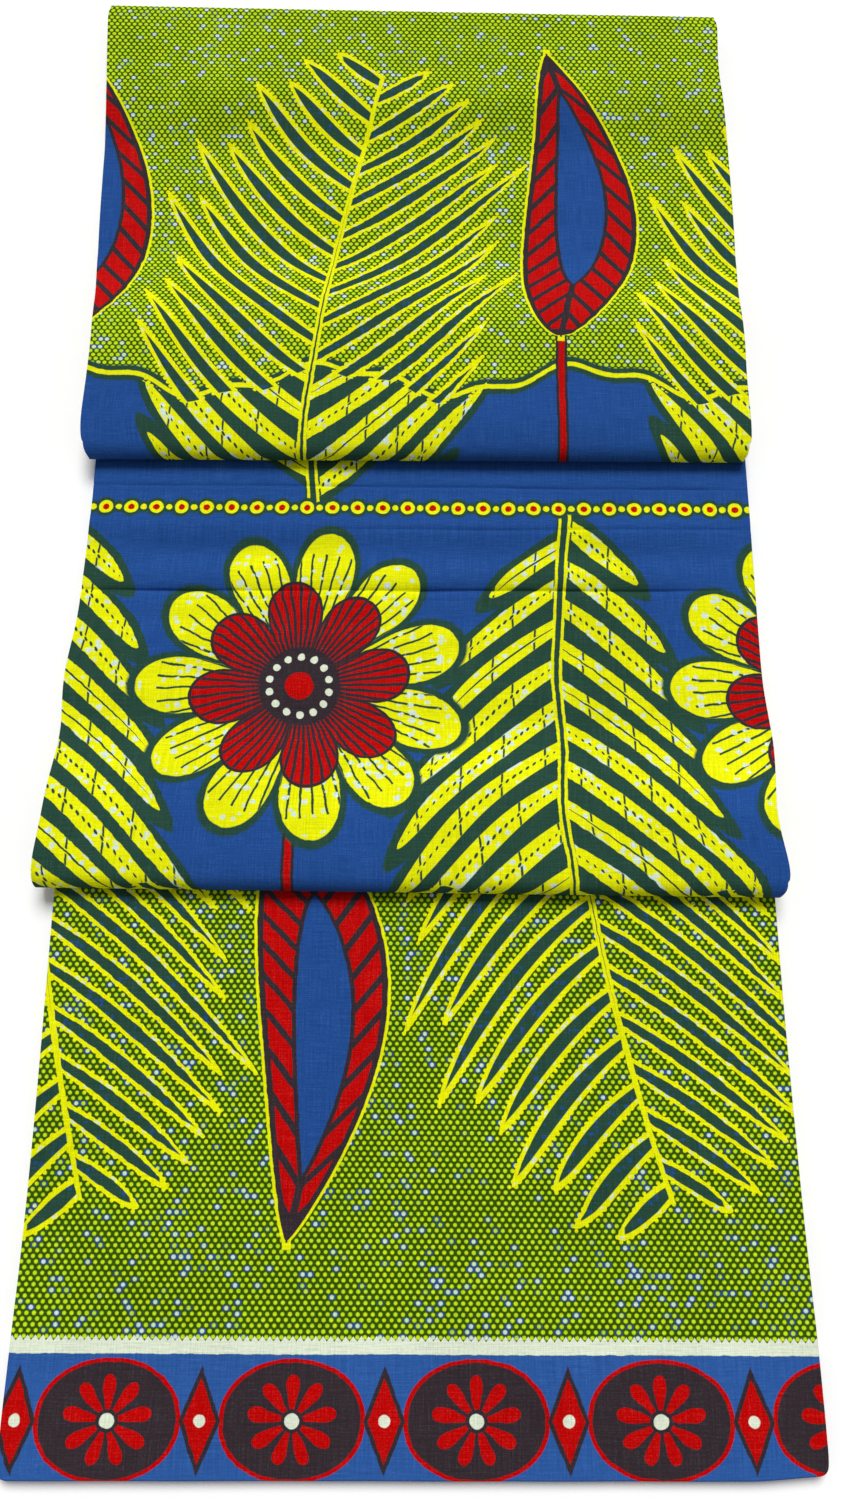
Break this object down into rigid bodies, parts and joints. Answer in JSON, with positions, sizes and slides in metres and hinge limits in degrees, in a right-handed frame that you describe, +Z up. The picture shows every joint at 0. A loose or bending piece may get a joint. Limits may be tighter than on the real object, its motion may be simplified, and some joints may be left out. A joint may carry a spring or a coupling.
{
  "type": "folded wax print fabric",
  "caption": "Six-yard length of printed cotton, folded into a flat pack and laid in three overlapping tiers with rolled front edges.",
  "frame": {"origin": "centre of the bounding box in X and Y, at the underside", "axes": "+X to the right along the pack's folded width, +Y from the front selvage to the back edge, +Z up from the surface it rests on"},
  "size_m": [0.3978, 0.8562, 0.0216],
  "materials": {
    "print_lower": "matte plain-weave cotton, olive ground with yellow-green dots, leaves and flowers",
    "print_middle": "matte plain-weave cotton, royal blue with yellow, red and dark green print",
    "print_upper": "matte plain-weave cotton, olive ground with yellow-green dots and leaves",
    "print_hidden": "matte plain-weave cotton, the same print on the plies below"
  },
  "bodies": {
    "root": {"lower_tier": "print_lower", "middle_tier": "print_middle", "upper_tier": "print_upper", "hidden_layers": "print_hidden"}
  },
  "joints": []
}
